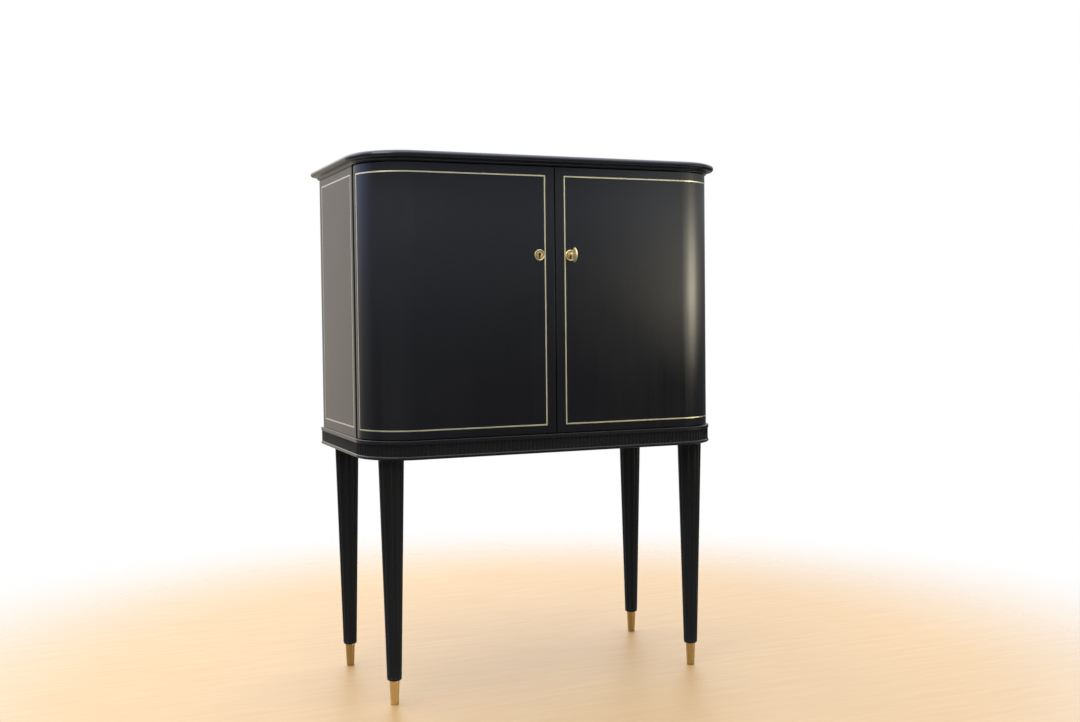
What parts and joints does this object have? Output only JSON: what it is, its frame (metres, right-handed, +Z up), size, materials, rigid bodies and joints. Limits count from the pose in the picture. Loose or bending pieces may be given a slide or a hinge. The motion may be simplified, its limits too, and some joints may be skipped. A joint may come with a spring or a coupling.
{
  "type": "bar cabinet",
  "caption": "Free-standing bar cabinet with curved-corner doors that lock by key, brass line inlay, a fluted base frame and tapered fluted legs in brass ferrules.",
  "frame": {"origin": "on the floor, under the middle of the whole object's outline", "axes": "+Z up, +X to the right seen from the front, front (doors) facing -Y"},
  "size_m": [0.944, 0.5034, 1.2585],
  "materials": {
    "black_lacquer": "satin black lacquer over close-grained wood",
    "interior_wood": "clear satin varnish on birch veneer",
    "back_board": "stained plywood",
    "inlay_brass": "flush brass line under lacquer",
    "polished_brass": "polished, lightly handled",
    "ferrule_brass": "satin, slightly darkened",
    "steel": "plain steel"
  },
  "bodies": {
    "case": {"apron_back_rail": "interior_wood", "apron_corner_left": "black_lacquer", "apron_corner_right": "black_lacquer", "apron_front_rail": "black_lacquer", "apron_side_rail_left": "black_lacquer", "apron_side_rail_right": "black_lacquer", "back_panel": "back_board", "back_screws": "steel", "base_screws": "steel", "bottom_panel": "interior_wood", "center_divider": "interior_wood", "cornice_moulding": "black_lacquer", "ferrule_back_left": "ferrule_brass", "ferrule_back_right": "ferrule_brass", "ferrule_front_left": "ferrule_brass", "ferrule_front_right": "ferrule_brass", "hinge_leaves_case": "polished_brass", "hinge_pins": "steel", "hinge_screws_case": "steel", "hinge_washers": "polished_brass", "leg_back_left": "black_lacquer", "leg_back_right": "black_lacquer", "leg_block_back_left": "interior_wood", "leg_block_back_right": "interior_wood", "leg_block_front_left": "interior_wood", "leg_block_front_right": "interior_wood", "leg_front_left": "black_lacquer", "leg_front_right": "black_lacquer", "shelf_left": "interior_wood", "shelf_pins": "steel", "shelf_right": "interior_wood", "side_inlay_left": "inlay_brass", "side_inlay_right": "inlay_brass", "side_panel_left": "black_lacquer", "side_panel_right": "black_lacquer", "strike_plate_left": "polished_brass", "strike_plate_right": "polished_brass", "strike_screws": "steel", "sub_top_panel": "interior_wood", "top_panel": "black_lacquer", "top_screws": "steel"},
    "left_door": {"door_inlay_left": "inlay_brass", "door_left": "black_lacquer", "escutcheon_left": "polished_brass", "hinge_leaves_door_left": "polished_brass", "hinge_screws_door_left": "steel", "lock_case_left": "steel", "lock_plate_left": "polished_brass", "lock_screws_left": "steel"},
    "right_door": {"door_inlay_right": "inlay_brass", "door_right": "black_lacquer", "escutcheon_right": "polished_brass", "hinge_leaves_door_right": "polished_brass", "hinge_screws_door_right": "steel", "lock_case_right": "steel", "lock_plate_right": "polished_brass", "lock_screws_right": "steel"},
    "key": {"key": "polished_brass"},
    "left_bolt": {"lock_bolt_left": "polished_brass"},
    "right_bolt": {"lock_bolt_right": "polished_brass"}
  },
  "joints": [
    {"name": "left_door_hinge", "type": "hinge", "parent": "case", "child": "left_door", "pos_m": [-0.444, -0.09595, 0.9225], "axis": [0, 0, -1], "range_deg": [0, 100]},
    {"name": "right_door_hinge", "type": "hinge", "parent": "case", "child": "right_door", "pos_m": [0.444, -0.09595, 0.9225], "axis": [0, 0, 1], "range_deg": [0, 100]},
    {"name": "key_turn", "type": "hinge", "parent": "right_door", "child": "key", "pos_m": [0.0395, -0.21225, 1.0305], "axis": [0, 1, 0], "range_deg": [0, 90]},
    {"name": "right_bolt_slide", "type": "slide", "parent": "right_door", "child": "right_bolt", "axis": [-1, 0, 0], "range_m": [0, 0.008]},
    {"name": "left_bolt_slide", "type": "slide", "parent": "left_door", "child": "left_bolt", "axis": [1, 0, 0], "range_m": [0, 0.008]}
  ],
  "couplings": [
    {"joint": "right_bolt_slide", "follows": "key_turn", "m_per_rad": 0.005092}
  ]
}
